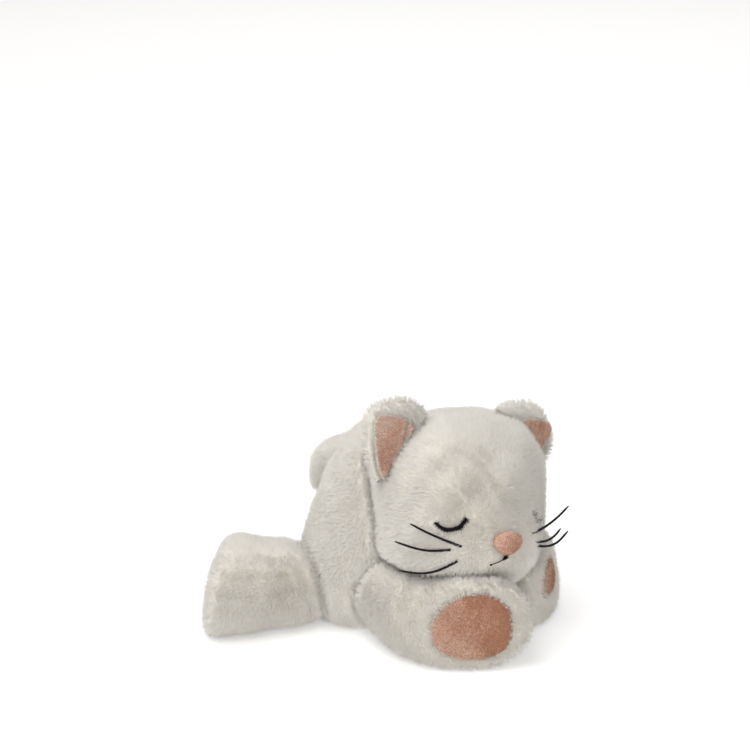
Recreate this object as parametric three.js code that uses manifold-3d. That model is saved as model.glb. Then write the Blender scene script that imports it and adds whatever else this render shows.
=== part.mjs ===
// A plush cat lying on its belly, head resting on its front paws.
// Millimetres, +Z up. The cat faces -Y and its left side is +X. The origin is on the floor,
// below the middle of the whole cat.
//
// Each sewn part is a fur shell (backing cloth and pile in one thickness) with fibre stuffing
// inside it. A shell is open where it is sewn to its neighbour. Parts that move turn on a joint
// pivot, and whatever a moving part sweeps through is cut out of the parts that stay behind.

import * as THREE from 'three';
import { mergeVertices } from 'three/addons/utils/BufferGeometryUtils.js';
import Module from 'manifold-3d';

const wasm = await Module();
wasm.setup();

// ---------------------------------------------------------------- driving dimensions

const FUR = 8;                 // backing cloth and pile together
const GAP = 0.4;               // clearance between neighbouring solids
const SWEEP_GAP = 2;           // clearance round what moves, whose swept shape is made of coarse facets
const CENTRE = [-5.5, -6.3];   // middle of the whole cat, in the frame the stations are given in

const HEAD_AT = [8, -43, 95];
const HEAD_YAW = -23;          // the face looks towards the cat's right
const HEAD_ROLL = 8;           // the cat's left cheek is lower
const NECK_PIVOT = [5, 14, 92];
const HEAD_LIFT = [0, 12];

const ARM_SWING = [-4, 18];
const LEG_SWING = [-10, 18];
const TAIL_LIFT = [-8, 25];
const EAR_FOLD = [-15, 20];

const END_DOME = 9;            // how far the dome at the end of a limb stands out
const PAD_SUNK = 5;            // how far a pad's middle lies below the top of that dome
const TAIL_DOME = 11;
const SQUARENESS = 0.82;       // 1 makes a limb's sections plain ellipses, less makes them squarer
const TURN_STARTS = 0.15;      // how far along a limb its end starts to turn
const PAD_THICKNESS = 5;
const WHISKER_RADIUS = 0.8;
const STITCH_RADIUS = 1.4;

// ---------------------------------------------------------------- materials

const cloth = (color, roughness) => new THREE.MeshStandardMaterial({ color, roughness, metalness: 0 });
const FUR_WHITE = cloth(0xe9e4dc, 0.95);
const STUFFING_WHITE = cloth(0xf7f6f2, 1.0);
const PELLET_CLOTH = cloth(0xd8d6cf, 0.9);
const PINK_VELOUR = cloth(0xc98f78, 0.9);
const BLACK_THREAD = cloth(0x14110f, 0.6);

// ---------------------------------------------------------------- solids

const vec = (a) => new THREE.Vector3(...a);
const radians = THREE.MathUtils.degToRad;

function solid(geometry) {
  const bare = geometry.clone();
  bare.deleteAttribute('normal');
  bare.deleteAttribute('uv');
  const merged = mergeVertices(bare, 1e-4);
  const vertProperties = new Float32Array(merged.attributes.position.array);
  const triVerts = new Uint32Array(merged.index.array);
  return new wasm.Manifold(new wasm.Mesh({ numProp: 3, vertProperties, triVerts }));
}

function geometryOf(manifold) {
  const mesh = manifold.getMesh();
  const geometry = new THREE.BufferGeometry();
  geometry.setAttribute('position', new THREE.BufferAttribute(mesh.vertProperties.slice(), 3));
  geometry.setIndex(new THREE.BufferAttribute(mesh.triVerts.slice(), 1));
  return geometry;
}

function largest(manifold) {
  const pieces = manifold.decompose();
  return pieces.reduce((best, piece) => (piece.volume() > best.volume() ? piece : best));
}

const moved = (manifold, matrix) => manifold.transform(matrix.elements);

function turnAbout(pivot, axis, degrees) {
  const there = new THREE.Matrix4().makeTranslation(...pivot);
  const turn = new THREE.Matrix4().makeRotationAxis(vec(axis).normalize(), radians(degrees));
  const back = new THREE.Matrix4().makeTranslation(...pivot.map((value) => -value));
  return there.multiply(turn).multiply(back);
}

// The space a solid passes through as its joint goes from one end of its range to the other.
function sweptBy(manifold, joint, sign = 1) {
  return joint.range
    .filter((degrees) => degrees !== 0)
    .map((degrees) => moved(manifold, turnAbout(joint.pivot, joint.axis, sign * degrees)))
    .reduce((swept, turned) => swept.add(turned), manifold);
}

// Cuts away what a fixed neighbour would touch as this solid turns on its own joint.
const clearedOf = (manifold, neighbour, joint) => manifold.subtract(sweptBy(neighbour, joint, -1));

const above = (height) => solid(
  new THREE.BoxGeometry(800, 800, 400).translate(0, 0, 200 + height),
);

// ---------------------------------------------------------------- rounded bodies from lobes

const smoothMin = (a, b, blend) => {
  const h = Math.max(blend - Math.abs(a - b), 0) / blend;
  return Math.min(a, b) - (h * h * blend) / 4;
};

// How far a point is outside an ellipsoid lobe, below zero inside it.
function outside(point, { at, radii }) {
  const p = point.clone().sub(vec(at));
  const r = vec(radii);
  const scaled = p.clone().divide(r);
  const k0 = scaled.length();
  const k1 = scaled.divide(r).length();
  return k1 === 0 ? -Math.min(...radii) : (k0 * (k0 - 1)) / k1;
}

const field = (point, lobes, blend) => lobes
  .map((lobe) => outside(point, lobe))
  .reduce((a, b) => smoothMin(a, b, blend));

// A closed skin round several blended lobes, pushed out by offset, seen from one centre.
function lobedBody({ centre, lobes, blend }, offset, detail) {
  const geometry = mergeVertices(bareSphere(detail), 1e-4);
  const position = geometry.attributes.position;
  const reach = 160;
  for (let i = 0; i < position.count; i += 1) {
    const ray = new THREE.Vector3().fromBufferAttribute(position, i).normalize();
    const inside = (distance) => field(vec(centre).addScaledVector(ray, distance), lobes, blend) < offset;
    let high = reach;
    while (high > 2 && !inside(high - 2)) high -= 2;
    let low = high - 2;
    for (let halving = 0; halving < 12; halving += 1) {
      const middle = (low + high) / 2;
      if (inside(middle)) low = middle;
      else high = middle;
    }
    const at = vec(centre).addScaledVector(ray, low);
    position.setXYZ(i, at.x, at.y, at.z);
  }
  return solid(geometry);
}

function bareSphere(detail) {
  const sphere = new THREE.IcosahedronGeometry(1, detail);
  sphere.deleteAttribute('normal');
  sphere.deleteAttribute('uv');
  return sphere;
}

// ---------------------------------------------------------------- limbs lofted along a spine

const squarer = (value) => Math.sign(value) * Math.abs(value) ** SQUARENESS;

// Each station is [x, y, z, half width, half height]. Both ends are domes. The far end is flatter,
// and turns from the spine's own direction to the way that its pad faces.
function limb({ stations, facing }, offset, sides, rings, endDome) {
  const spine = new THREE.CatmullRomCurve3(stations.map(([x, y, z]) => new THREE.Vector3(x, y, z)));
  const facetRoom = offset > 0 ? 1 / Math.cos(Math.PI / sides) : 1;
  const sizeAt = (u, k) => {
    const along = u * (stations.length - 1);
    const i = Math.min(Math.floor(along), stations.length - 2);
    const t = along - i;
    const s = t * t * (3 - 2 * t);
    return (stations[i][k] * (1 - s) + stations[i + 1][k] * s + offset) * facetRoom;
  };
  const up = new THREE.Vector3(0, 0, 1);
  const sections = [];
  const wayAt = (u) => {
    const turned = THREE.MathUtils.smoothstep(u, TURN_STARTS, 1);
    return spine.getTangent(u).lerp(vec(facing).normalize(), turned).normalize();
  };
  const section = (u, scale, shift) => {
    const along = wayAt(u);
    const side = new THREE.Vector3().crossVectors(up, along).normalize();
    const rise = new THREE.Vector3().crossVectors(along, side);
    const at = spine.getPoint(u).addScaledVector(along, shift);
    const ring = [];
    for (let k = 0; k < sides; k += 1) {
      const angle = (2 * Math.PI * k) / sides;
      ring.push(at.clone()
        .addScaledVector(side, squarer(Math.cos(angle)) * sizeAt(u, 3) * scale)
        .addScaledVector(rise, squarer(Math.sin(angle)) * sizeAt(u, 4) * scale));
    }
    sections.push(ring);
  };
  const rootDome = sizeAt(0, 3) * 0.7;
  const domeSteps = sides > 12 ? 3 : 2;
  const domeAt = (step) => (Math.PI / 2) * (step / (domeSteps + 0.4));
  for (let step = domeSteps; step >= 1; step -= 1) {
    section(0, Math.cos(domeAt(step)), -Math.sin(domeAt(step)) * rootDome);
  }
  for (let ring = 0; ring <= rings; ring += 1) section(ring / rings, 1, 0);
  for (let step = 1; step <= domeSteps; step += 1) {
    section(1, Math.cos(domeAt(step)) ** 0.6, Math.sin(domeAt(step)) * (endDome + offset));
  }
  const rootTip = spine.getPoint(0).addScaledVector(spine.getTangent(0), -rootDome);
  const endTip = spine.getPoint(1).addScaledVector(wayAt(1), endDome + offset);
  return solid(loft(sections, rootTip, endTip));
}

// A closed skin over rings of points, with a fan to a tip at each end.
function loft(sections, firstTip, lastTip) {
  const sides = sections[0].length;
  const points = [...sections.flat(), firstTip, lastTip];
  const first = points.length - 2;
  const last = points.length - 1;
  const index = [];
  for (let ring = 0; ring + 1 < sections.length; ring += 1) {
    for (let k = 0; k < sides; k += 1) {
      const a = ring * sides + k;
      const b = ring * sides + ((k + 1) % sides);
      index.push(a, b, a + sides, b, b + sides, a + sides);
    }
  }
  const lastRing = (sections.length - 1) * sides;
  for (let k = 0; k < sides; k += 1) {
    const next = (k + 1) % sides;
    index.push(first, next, k);
    index.push(last, lastRing + k, lastRing + next);
  }
  const geometry = new THREE.BufferGeometry();
  const places = points.flatMap((point) => point.toArray());
  geometry.setAttribute('position', new THREE.Float32BufferAttribute(places, 3));
  geometry.setIndex(index);
  return geometry;
}

// ---------------------------------------------------------------- threads and pads

// A round thread through the given points, with flat ends.
function thread(points, radius, sides = 6, steps = 8) {
  const path = new THREE.CatmullRomCurve3(points.map(vec));
  const round = new THREE.EllipseCurve(0, 0, radius, radius).getPoints(sides).slice(0, sides);
  const outline = new THREE.Shape(round);
  return solid(new THREE.ExtrudeGeometry(outline, { extrudePath: path, steps, bevelEnabled: false }));
}

// An oval cushion lying across a limb's end, domed on both faces.
function ovalPad(at, facing, halfWidth, halfHeight, thickness, sides = 16) {
  const pad = new THREE.SphereGeometry(1, sides, 6).rotateX(Math.PI / 2);
  pad.scale(halfWidth, halfHeight, thickness);
  const frame = new THREE.Matrix4().lookAt(vec(facing), new THREE.Vector3(), new THREE.Vector3(0, 0, 1));
  pad.applyMatrix4(frame);
  pad.translate(...at);
  return solid(pad);
}

// ---------------------------------------------------------------- torso

const TORSO = {
  centre: [0, 28, 60],
  blend: 26,
  lobes: [
    { at: [0, 2, 56], radii: [50, 44, 52] },       // chest, below the head
    { at: [3, 21, 88], radii: [49, 38, 59] },      // high rump
    { at: [-24, 34, 43], radii: [34, 31, 40] },    // right haunch
    { at: [24, 34, 43], radii: [34, 31, 40] },     // left haunch
    { at: [0, 24, 22], radii: [52, 46, 30] },      // belly, flattened by the floor
  ],
};

// ---------------------------------------------------------------- head, in its own frame

const HEAD = {
  centre: [0, 0, 0],
  blend: 20,
  lobes: [
    { at: [0, 2, 5], radii: [62, 58, 60] },        // skull
    { at: [-26, 0, 28], radii: [34, 40, 34] },     // broad crown, right and left
    { at: [26, 0, 28], radii: [34, 40, 34] },
    { at: [-28, -14, -26], radii: [34, 38, 34] },  // full cheeks
    { at: [28, -14, -26], radii: [34, 38, 34] },
    { at: [0, -36, -22], radii: [30, 24, 22] },    // low muzzle
  ],
};

const headFrame = new THREE.Matrix4().compose(
  vec(HEAD_AT),
  new THREE.Quaternion().setFromEuler(new THREE.Euler(0, radians(HEAD_ROLL), radians(HEAD_YAW), 'ZYX')),
  new THREE.Vector3(1, 1, 1),
);
const onHead = (point) => vec(point).applyMatrix4(headFrame).toArray();
const headDirection = (direction) => vec(direction).transformDirection(headFrame).toArray();

// The point of the head's skin that lies straight ahead of (x, z).
function onFace(x, z, proud = 0) {
  let y = -120;
  while (field(new THREE.Vector3(x, y, z), HEAD.lobes, HEAD.blend) > proud) y += 0.25;
  return [x, y, z];
}

// ---------------------------------------------------------------- limb stations, right and left

const ARMS = {
  right: {
    stations: [
      [-30, -8, 33, 27, 29], [-36, -33, 33, 35, 32], [-40, -55, 32, 39, 33],
      [-42, -76, 32, 43, 33], [-44, -89, 32, 46, 33],
    ],
    facing: [-0.78, -0.62, 0.22],
  },
  left: {
    stations: [
      [26, -8, 33, 24, 28], [35, -34, 31, 29, 31], [45, -59, 31, 32, 33],
      [51, -78, 32, 34, 34], [53, -88, 32, 34, 34],
    ],
    facing: [0.26, -0.96, 0.16],
  },
};

const LEGS = {
  right: {
    stations: [
      [-36, 45, 27, 23, 26], [-54, 56, 28, 27, 28], [-72, 69, 31, 31, 32],
      [-87, 83, 34, 35, 36], [-95, 91, 34, 36, 36],
    ],
    facing: [-0.46, 0.87, 0.17],
  },
  left: {
    stations: [
      [34, 45, 27, 23, 26], [49, 56, 28, 27, 28], [64, 70, 31, 31, 32],
      [77, 84, 34, 35, 36], [84, 92, 34, 36, 36],
    ],
    facing: [0.46, 0.87, 0.17],
  },
};

const TAIL = {
  stations: [[5, 36, 114, 18, 17], [5, 49, 113, 20, 18], [5, 61, 104, 20, 18], [5, 68, 89, 16, 15]],
  facing: [0, 0.45, -0.9],
};


// ---------------------------------------------------------------- joints

const UP = [0, 0, 1];
const swing = (stations, range, outward) => ({
  pivot: stations[0].slice(0, 3), axis: UP.map((value) => value * outward), range,
});

export const joints = {
  neck_lift: { pivot: NECK_PIVOT, axis: [-1, 0, 0], range: HEAD_LIFT },
  right_arm_swing: swing(ARMS.right.stations, ARM_SWING, -1),
  left_arm_swing: swing(ARMS.left.stations, ARM_SWING, 1),
  right_leg_swing: swing(LEGS.right.stations, LEG_SWING, 1),
  left_leg_swing: swing(LEGS.left.stations, LEG_SWING, -1),
  tail_lift: { pivot: TAIL.stations[0].slice(0, 3), axis: [1, 0, 0], range: TAIL_LIFT },
};

// ---------------------------------------------------------------- body groups

const cat = new THREE.Group();
cat.position.set(-CENTRE[0], -CENTRE[1], 0);

// Stores a solid given in the cat's frame in a body group whose origin is its joint's pivot.
function bodyAt(pivot) {
  const group = new THREE.Group();
  group.position.set(...pivot);
  cat.add(group);
  return (name, manifold, material) => {
    const mesh = new THREE.Mesh(geometryOf(manifold.translate(pivot.map((value) => -value))), material);
    mesh.name = name;
    group.add(mesh);
  };
}

const floor = above(0);

// A sewn part: its fur shell, open where it is sewn on, and the stuffing that fills it.
function sewnPart(skin, { opening, trim = (manifold) => manifold }) {
  const outer = trim(skin(0).intersect(floor));
  const inner = skin(-FUR).intersect(above(FUR));
  const stuffing = trim(skin(-FUR - GAP).intersect(above(FUR + GAP)));
  const shell = outer.subtract(inner);
  return { shell: largest(opening ? shell.subtract(opening) : shell), stuffing: largest(stuffing) };
}

const rod = (at, along, radius, length) => {
  const geometry = new THREE.CylinderGeometry(radius, radius, length, 14);
  const way = vec(along).normalize();
  const turn = new THREE.Quaternion().setFromUnitVectors(new THREE.Vector3(0, 1, 0), way);
  geometry.applyQuaternion(turn).translate(...at);
  return solid(geometry);
};

// ---------------------------------------------------------------- limbs

const sweptLimbs = [];

function addLimb(body, padName, { stations, facing }, joint, padSize) {
  const add = bodyAt(joint.pivot);
  const skin = (offset) => (offset === 0
    ? limb({ stations, facing }, offset, 16, 6, END_DOME)
    : limb({ stations, facing }, offset, 10, 4, END_DOME));
  const last = stations[stations.length - 1];
  const outward = vec(facing).normalize();
  const padAt = vec(last).addScaledVector(outward, END_DOME - PAD_SUNK).toArray();
  const pad = ovalPad(padAt, facing, padSize[0], padSize[1], PAD_THICKNESS);
  const padSeat = ovalPad(padAt, facing, padSize[0] + GAP, padSize[1] + GAP, PAD_THICKNESS + GAP);
  const padRoom = wasm.Manifold.hull([padSeat, padSeat.translate(outward.multiplyScalar(20).toArray())]);
  const rootWay = vec(stations[0].slice(0, 3)).sub(vec(stations[1].slice(0, 3))).normalize();
  const opening = rod(vec(joint.pivot).addScaledVector(rootWay, 14).toArray(), rootWay.toArray(), 11, 24);
  const { shell, stuffing } = sewnPart(skin, { opening, trim: (manifold) => manifold.subtract(padRoom) });
  add(`${body}_fur_shell`, shell, FUR_WHITE);
  add(`${body}_stuffing`, stuffing, STUFFING_WHITE);
  add(padName, pad.intersect(above(0.5)), PINK_VELOUR);
  sweptLimbs.push(sweptBy(limb({ stations, facing }, SWEEP_GAP, 10, 3, END_DOME), joint));
}

addLimb('right_arm', 'right_paw_pad', ARMS.right, joints.right_arm_swing, [30, 24]);
addLimb('left_arm', 'left_paw_pad', ARMS.left, joints.left_arm_swing, [26, 23]);
addLimb('right_leg', 'right_sole_pad', LEGS.right, joints.right_leg_swing, [25, 25]);
addLimb('left_leg', 'left_sole_pad', LEGS.left, joints.left_leg_swing, [25, 25]);

const allLimbs = sweptLimbs.reduce((a, b) => a.add(b));

// ---------------------------------------------------------------- tail

const tailSkin = (offset) => limb(TAIL, offset, offset === 0 ? 14 : 8, 4, TAIL_DOME);
const addTail = bodyAt(joints.tail_lift.pivot);
const tail = sewnPart(tailSkin, { opening: rod([5, 26, 114], [0, -1, 0], 6, 22) });
addTail('tail_fur_shell', tail.shell, FUR_WHITE);
addTail('tail_stuffing', tail.stuffing, STUFFING_WHITE);
const sweptTail = sweptBy(limb(TAIL, SWEEP_GAP, 8, 3, TAIL_DOME), joints.tail_lift);

// ---------------------------------------------------------------- head

const addHead = bodyAt(NECK_PIVOT);
const headSkin = (offset, detail) => moved(lobedBody(HEAD, offset, detail), headFrame);

// The arms' sweep, seen from a head that may itself be lifted.
const arms = sweptLimbs[0].add(sweptLimbs[1]);
const underHead = sweptBy(arms, joints.neck_lift, -1);

const NOSE_AT = [0.5, -64, -8];
const NOSE_RADII = [10.5, 6.5, 8.5];
const noseBody = (offset) => solid(
  new THREE.IcosahedronGeometry(1, 2).scale(...NOSE_RADII.map((r) => r + offset)).translate(...NOSE_AT),
);
const nose = noseBody(0);
const noseRoom = noseBody(GAP);

// Threads lie in the pile, sunk a little, each in a groove of its own.
const EYES = { right: { at: -38, inwards: 1 }, left: { at: 42, inwards: -1 } };
const EYE_CURVE = [[-9, 2], [-5, -1.5], [-1, -2.5], [5, 0.5], [10, 7]];
const eyeThread = (label, radius) => thread(
  EYE_CURVE.map(([across, z]) => onFace(EYES[label].at + EYES[label].inwards * across, z, 0.3)), radius,
);
const mouthThread = (radius) => thread(
  [[3.5, -18], [3, -21], [-1, -23.5], [-9, -26]].map(([x, z]) => onFace(x, z, 0.3)), radius,
);

// Each whisker runs from a root on the cheek, (x, z), to its tip, bowed a little on the way.
const WHISKERS = {
  right: [
    { root: [-31, -12.5], tip: [-60.5, -35, -1], droop: 1 },
    { root: [-38, -16], tip: [-68.5, -31, -14], droop: 3 },
    { root: [-33, -24.5], tip: [-63, -31.5, -35], droop: 5 },
  ],
  left: [
    { root: [33, -10], tip: [72, -37, 2.5], droop: 1 },
    { root: [39, -17], tip: [71.5, -33.5, -15.5], droop: 3 },
    { root: [40, -20], tip: [77, -35.5, -17], droop: 5 },
  ],
};

function whisker({ root, tip, droop }, radius) {
  const start = onFace(...root, -3);
  const middle = start.map((value, k) => (value + tip[k]) / 2);
  return thread([start, [middle[0], middle[1] - 3, middle[2] - droop], tip], radius, 6, 5);
}

const faceThreads = [];
for (const label of ['right', 'left']) {
  faceThreads.push([
    `${label}_eye_stitching`, eyeThread(label, STITCH_RADIUS), eyeThread(label, STITCH_RADIUS + GAP),
  ]);
  WHISKERS[label].forEach((row, i) => faceThreads.push([
    `${label}_whisker_${i + 1}`, whisker(row, WHISKER_RADIUS), whisker(row, WHISKER_RADIUS + GAP),
  ]));
}
faceThreads.push(['mouth_stitching', mouthThread(STITCH_RADIUS), mouthThread(STITCH_RADIUS + GAP)]);

const faceRoom = faceThreads.map(([, , room]) => room).reduce((a, b) => a.add(b), noseRoom);
const head = sewnPart((offset) => headSkin(offset, offset === 0 ? 6 : 3), {
  opening: rod([6, 2, 62], [-0.05, -1, 0.45], 24, 60),
  trim: (manifold) => manifold.subtract(underHead).subtract(moved(faceRoom, headFrame)),
});
addHead('head_fur_shell', head.shell, FUR_WHITE);
addHead('head_stuffing', head.stuffing, STUFFING_WHITE);
addHead('nose', moved(nose, headFrame), PINK_VELOUR);
for (const [name, piece] of faceThreads) addHead(name, moved(piece, headFrame), BLACK_THREAD);

// ---------------------------------------------------------------- ears

// The ear seen from the front: its base runs down the side of the head, in (x, z).
const EAR_POINTS = 26;
const EARS = {
  right: {
    base: [[28, 60], [64, 22]],
    outline: [
      [24, 56], [34, 69], [46, 77], [58, 79], [71, 78], [80, 74],
      [84, 67], [85, 56], [82, 40], [77, 26], [66, 14], [44, 34],
    ],
    lining: [
      [46, 60], [51, 65], [62, 70], [73, 71], [79, 69], [81, 61],
      [79, 48], [75, 35], [70, 25], [62, 20], [50, 34],
    ],
  },
  left: {
    base: [[28, 56], [64, 18]],
    outline: [
      [18, 57], [25, 68], [34, 72], [46, 73], [57, 72], [66, 68], [74, 61],
      [80, 52], [83, 41], [81, 30], [74, 17], [62, 10], [40, 32],
    ],
    lining: [
      [38, 55], [43, 60], [54, 62], [65, 60.5], [73, 57],
      [76, 51], [73, 43], [68, 35], [62, 24], [48, 36],
    ],
  },
};
const EAR_FRONT = -2;          // the ears stand in line with the head's middle
const EAR_THICKNESS = 10;

function earPlate(side, outline, y, thickness, bevel) {
  const shape = new THREE.Shape(new THREE.SplineCurve(
    [...outline, outline[0]].map(([x, z]) => new THREE.Vector2(side * x, z)),
  ).getPoints(EAR_POINTS).slice(0, EAR_POINTS));
  const plate = new THREE.ExtrudeGeometry(shape, {
    depth: thickness - 2 * bevel,
    bevelEnabled: true,
    bevelThickness: bevel,
    bevelSize: bevel,
    bevelOffset: -bevel,
    bevelSegments: 2,
  });
  return solid(plate.rotateX(Math.PI / 2).translate(0, y + thickness - bevel, 0));
}

for (const [label, side] of [['right', -1], ['left', 1]]) {
  const { base, outline, lining: liningOutline } = EARS[label];
  const [inner, outer] = base.map(([x, z]) => [side * x, EAR_FRONT + 2, z]);
  const pivot = inner.map((value, k) => (value + outer[k]) / 2);
  const axis = vec(outer).sub(vec(inner)).multiplyScalar(-side).toArray();
  const joint = { pivot: onHead(pivot), axis: headDirection(axis), range: EAR_FOLD };
  joints[`${label}_ear_fold`] = joint;
  const add = bodyAt(joint.pivot);
  const headRoom = headSkin(SWEEP_GAP, 3);
  const back = moved(earPlate(side, outline, EAR_FRONT, EAR_THICKNESS, 4), headFrame);
  const lining = moved(earPlate(side, liningOutline, EAR_FRONT - GAP - 3.2, 3.2, 1), headFrame);
  add(`${label}_ear_fur_back`, largest(clearedOf(back, headRoom, joint)), FUR_WHITE);
  add(`${label}_ear_lining`, largest(clearedOf(lining, headRoom, joint)), PINK_VELOUR);
}

// ---------------------------------------------------------------- torso

const sweptHead = sweptBy(headSkin(SWEEP_GAP, 3), joints.neck_lift);
const addTorso = bodyAt([0, 0, 0]);
const pouchAt = [0, 26, 22];
const pouch = (offset) => solid(
  new THREE.IcosahedronGeometry(1, 2).scale(24 + offset, 30 + offset, 15 + offset).translate(...pouchAt),
);
const torso = sewnPart((offset) => lobedBody(TORSO, offset, offset === 0 ? 6 : 3), {
  trim: (manifold) => manifold.subtract(allLimbs).subtract(sweptTail).subtract(sweptHead),
});
const pouchTop = above(FUR + GAP);
addTorso('torso_fur_shell', torso.shell, FUR_WHITE);
addTorso('torso_stuffing', largest(torso.stuffing.subtract(pouch(GAP))), STUFFING_WHITE);
addTorso('belly_pellet_pouch', largest(pouch(0).intersect(pouchTop).subtract(allLimbs)), PELLET_CLOTH);

export default cat;
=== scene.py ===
"""A plush cat that lies with its head on its front paws.

Every sewn part gets a padded skin made from its CAD shell, and a pile of fine tapered strands that
grow from that skin. Velour parts get the same at a smaller size. Lengths are metres.
"""

import math

import bmesh
import bpy
import numpy as np
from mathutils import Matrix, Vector
from mathutils.kdtree import KDTree


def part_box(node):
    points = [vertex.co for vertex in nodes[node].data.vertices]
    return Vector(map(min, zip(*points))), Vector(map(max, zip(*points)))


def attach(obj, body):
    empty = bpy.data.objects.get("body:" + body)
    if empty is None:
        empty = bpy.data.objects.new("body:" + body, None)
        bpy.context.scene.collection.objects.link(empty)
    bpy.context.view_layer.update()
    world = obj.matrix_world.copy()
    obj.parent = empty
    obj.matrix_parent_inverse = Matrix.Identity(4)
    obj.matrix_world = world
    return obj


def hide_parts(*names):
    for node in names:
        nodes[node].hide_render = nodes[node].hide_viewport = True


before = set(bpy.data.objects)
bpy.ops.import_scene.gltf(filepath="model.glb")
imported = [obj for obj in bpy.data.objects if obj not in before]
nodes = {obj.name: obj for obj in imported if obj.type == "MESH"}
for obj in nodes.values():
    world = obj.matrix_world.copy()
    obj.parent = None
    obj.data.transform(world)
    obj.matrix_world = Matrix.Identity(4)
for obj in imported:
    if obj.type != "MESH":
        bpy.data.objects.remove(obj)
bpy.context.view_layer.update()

MM = 0.001
PILE = 3.6 * MM            # how far the fur stands off its backing cloth
FLOOR_CLEAR = 0.4 * MM     # no skin or strand reaches lower
ROOT_CLEAR = 1.2 * MM      # no fur grows lower
VELOUR_ROOT_CLEAR = 1.0 * MM
STRANDS_IN_PIECE = 48000   # the export simplifies a piece of more than four times as many faces


# ------------------------------------------------------------------ numbers from the frame

def points_of(node):
    """A CAD node's vertices as an array."""
    mesh = nodes[node].data
    flat = np.empty(len(mesh.vertices) * 3)
    mesh.vertices.foreach_get("co", flat)
    return flat.reshape(-1, 3)


def middle_of(node):
    low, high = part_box(node)
    return (np.array(low) + np.array(high)) / 2


def main_ways(places):
    """The middle of a cloud of points and its three ways, the longest first."""
    middle = places.mean(axis=0)
    _, _, ways = np.linalg.svd(places - middle, full_matrices=False)
    return middle, ways


def rising(values, start, span):
    """0 up to the start, then rising to 1 over the span."""
    return np.clip((values - start) / span, 0, 1)


def unit(vector):
    return vector / np.linalg.norm(vector)


def units(vectors):
    return vectors / np.maximum(np.linalg.norm(vectors, axis=1, keepdims=True), 1e-9)


UP = np.array([0.0, 0.0, 1.0])
NOSE_MIDDLE = middle_of("nose")


# The head's own frame, as the CAD has it: -y is the way the face looks, lengths in millimetres.
HEAD_AT = np.array([0.0135, -0.0367, 0.095])
HEAD_YAW = math.radians(-23)
HEAD_ROLL = math.radians(8)


def head_turn():
    cosine, sine = math.cos(HEAD_YAW), math.sin(HEAD_YAW)
    yaw = np.array([[cosine, -sine, 0], [sine, cosine, 0], [0, 0, 1]])
    cosine, sine = math.cos(HEAD_ROLL), math.sin(HEAD_ROLL)
    roll = np.array([[cosine, 0, sine], [0, 1, 0], [-sine, 0, cosine]])
    return yaw @ roll


HEAD_TURN = head_turn()


def on_head(points):
    return np.asarray(points, dtype=float) * MM @ HEAD_TURN.T + HEAD_AT


def seen_from_head(places):
    return (np.asarray(places) - HEAD_AT) @ HEAD_TURN / MM


def linked(name, data):
    """A new object in the scene that holds the data."""
    thing = bpy.data.objects.new(name, data)
    bpy.context.scene.collection.objects.link(thing)
    return thing


# ------------------------------------------------------------------ camera

LENS_MM = 85
CAMERA_AZIMUTH = math.radians(-58)
CAMERA_ELEVATION = math.radians(22)
CAMERA_DISTANCE = 1.275
AIM_LEFT_OF_HEAD = 0.0598
AIM_ABOVE_HEAD = 0.090


def make_camera():
    sine, cosine = math.sin(CAMERA_AZIMUTH), math.cos(CAMERA_AZIMUTH)
    flat = math.cos(CAMERA_ELEVATION)
    back = np.array([sine * flat, -cosine * flat, math.sin(CAMERA_ELEVATION)])
    right = np.array([cosine, sine, 0.0])
    upward = np.cross(back, right)
    place = HEAD_AT + back * CAMERA_DISTANCE
    aim = HEAD_AT - right * AIM_LEFT_OF_HEAD + upward * AIM_ABOVE_HEAD
    data = bpy.data.cameras.new("camera")
    data.lens = LENS_MM
    camera = linked("camera", data)
    camera.location = place
    camera.rotation_euler = Vector(aim - place).to_track_quat("-Z", "Y").to_euler()
    bpy.context.scene.camera = camera


make_camera()


# ------------------------------------------------------------------ materials

PILE_ROUGHNESS = 0.9
FUR_SHEEN = 0.25
VELOUR_SHEEN = 0.2


def plain_cloth(name, colour, roughness=PILE_ROUGHNESS, sheen=0.0):
    """A material with the same colour all over, for strands finer than any pattern."""
    material = bpy.data.materials.new(name)
    material.use_nodes = True
    shader = material.node_tree.nodes["Principled BSDF"]
    shader.inputs["Base Color"].default_value = (*colour, 1.0)
    shader.inputs["Roughness"].default_value = roughness
    shader.inputs["Sheen Weight"].default_value = sheen
    shader.inputs["Sheen Roughness"].default_value = 0.5
    shader.inputs["Specular IOR Level"].default_value = 0.2
    return material


def mottled_cloth(name, dark, light, grain, roughness=0.95, bump=0.3, raised_by=0.4 * MM):
    """Cloth whose colour drifts between two tones, with a fine raised grain."""
    material = plain_cloth(name, light, roughness)
    tree = material.node_tree
    shader = tree.nodes["Principled BSDF"]
    place = tree.nodes.new("ShaderNodeTexCoord")
    noise = tree.nodes.new("ShaderNodeTexNoise")
    noise.inputs["Scale"].default_value = grain
    noise.inputs["Detail"].default_value = 4.0
    ramp = tree.nodes.new("ShaderNodeValToRGB")
    ramp.color_ramp.elements[0].position = 0.35
    ramp.color_ramp.elements[0].color = (*dark, 1.0)
    ramp.color_ramp.elements[1].position = 0.65
    ramp.color_ramp.elements[1].color = (*light, 1.0)
    raised = tree.nodes.new("ShaderNodeBump")
    raised.inputs["Strength"].default_value = bump
    raised.inputs["Distance"].default_value = raised_by
    tree.links.new(place.outputs["Object"], noise.inputs["Vector"])
    tree.links.new(noise.outputs["Fac"], ramp.inputs["Fac"])
    tree.links.new(ramp.outputs["Color"], shader.inputs["Base Color"])
    tree.links.new(noise.outputs["Fac"], raised.inputs["Height"])
    tree.links.new(raised.outputs["Normal"], shader.inputs["Normal"])
    return material


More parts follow.
